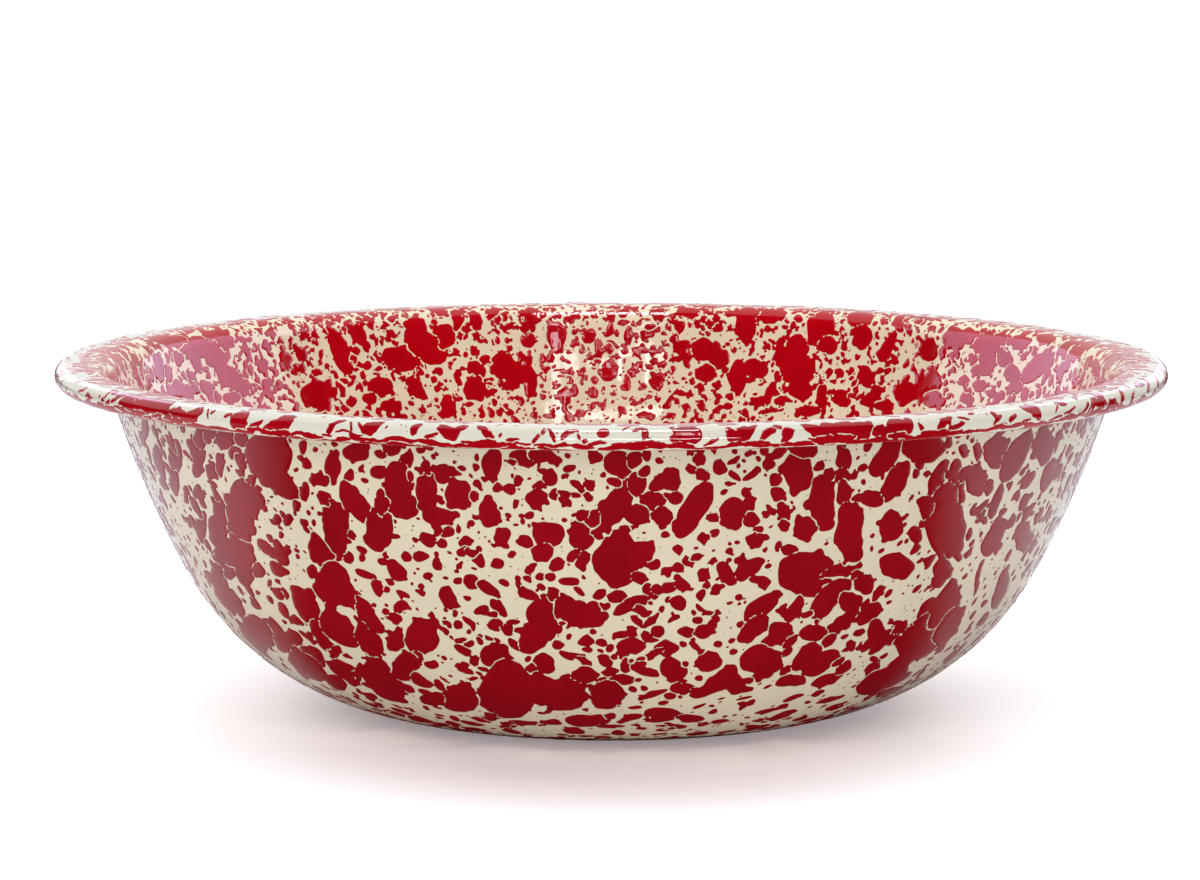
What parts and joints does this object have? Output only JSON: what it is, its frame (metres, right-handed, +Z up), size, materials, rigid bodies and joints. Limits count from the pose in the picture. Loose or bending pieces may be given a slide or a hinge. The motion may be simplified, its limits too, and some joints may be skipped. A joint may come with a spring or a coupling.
{
  "type": "enamel basin bowl",
  "caption": "Wide round enamelled steel basin with a rolled rim, cream inside and out under a red splatter glaze.",
  "frame": {"origin": "centre of the flat resting face under the base", "axes": "+Z up along the axis of the bowl; the bowl is round, so +X and +Y are free, with -Y towards the viewer of the picture"},
  "size_m": [0.356, 0.3557, 0.112],
  "materials": {
    "steel": "pressed low carbon sheet, pickled",
    "ground_enamel": "fired dark ground coat",
    "cream_enamel_inside": "gloss cream cover coat",
    "cream_enamel_outside": "gloss cream cover coat",
    "red_glaze_inside": "gloss red splatter glaze",
    "red_glaze_rim": "gloss red splatter glaze, dragged round the rim",
    "red_glaze_outside": "gloss red splatter glaze"
  },
  "bodies": {
    "root": {"steel_shell": "steel", "ground_coat_inside": "ground_enamel", "ground_coat_outside": "ground_enamel", "cover_coat_inside": "cream_enamel_inside", "cover_coat_outside": "cream_enamel_outside", "splatter_inside": "red_glaze_inside", "splatter_rim": "red_glaze_rim", "splatter_outside": "red_glaze_outside"}
  },
  "joints": []
}
